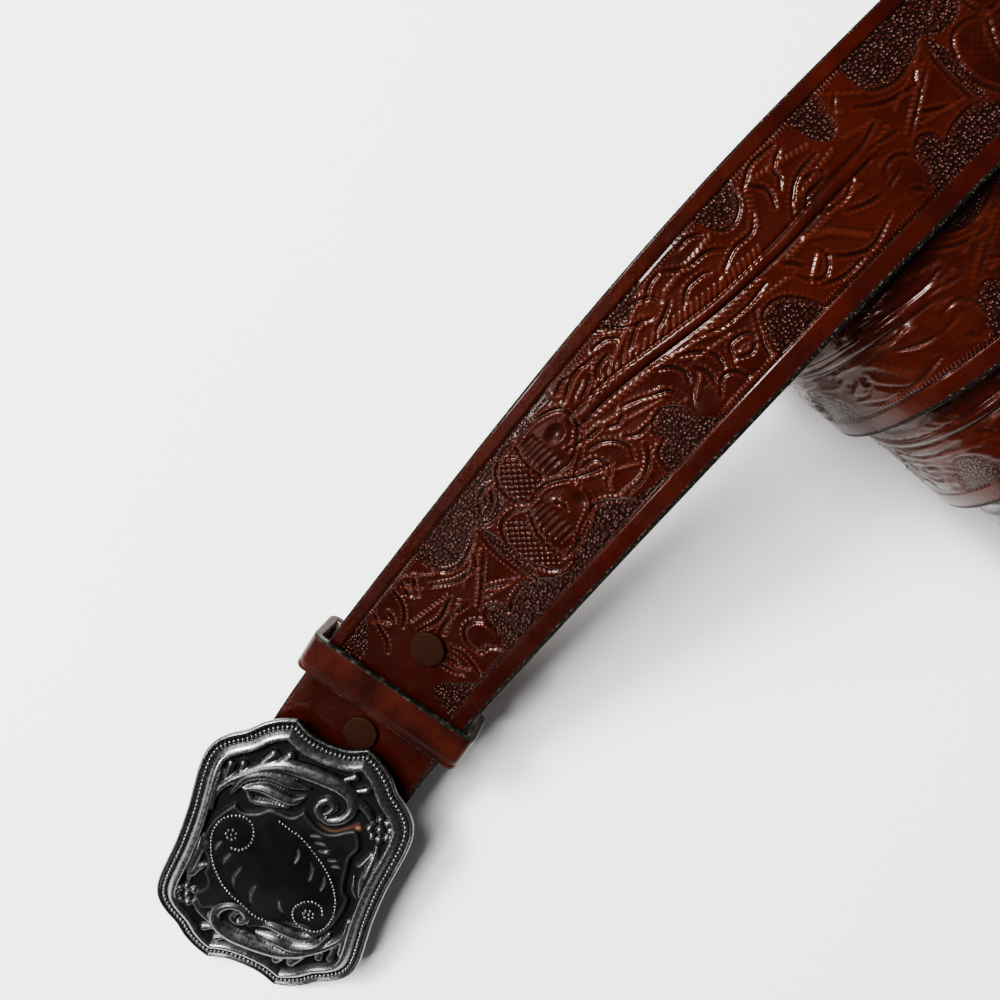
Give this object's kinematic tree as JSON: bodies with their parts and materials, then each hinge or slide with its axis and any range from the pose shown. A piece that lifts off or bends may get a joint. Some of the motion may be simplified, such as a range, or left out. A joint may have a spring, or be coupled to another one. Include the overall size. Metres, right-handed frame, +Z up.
{
  "type": "western belt",
  "caption": "Tooled leather belt lying part rolled, with a cast shield-shaped plate buckle, a leather keeper and snaps that close its fold.",
  "frame": {"origin": "middle of the footprint, on the floor that the belt lies on", "axes": "+X runs from the buckle to the roll, +Z is up, +Y is the side of the belt away from the roll's turns"},
  "size_m": [0.3486, 0.1274, 0.0803],
  "materials": {
    "strap_leather": "glossy mahogany tooled leather, black edges",
    "keeper_leather": "smooth dark red-brown leather, black edges",
    "snap_cap": "dark brown enamel, half matt",
    "buckle_metal": "antiqued pewter, black recesses, worn bright crests"
  },
  "bodies": {
    "belt": {"strap": "strap_leather", "keeper": "keeper_leather", "snap_1": "snap_cap", "snap_2": "snap_cap"},
    "buckle": {"buckle_plate": "buckle_metal"}
  },
  "joints": [
    {"name": "buckle_hinge", "type": "hinge", "parent": "belt", "child": "buckle", "pos_m": [-0.11635, 0.03257, 0.00835], "axis": [-0.2823, 0.9593, 0], "range_deg": [-50, 0]}
  ]
}
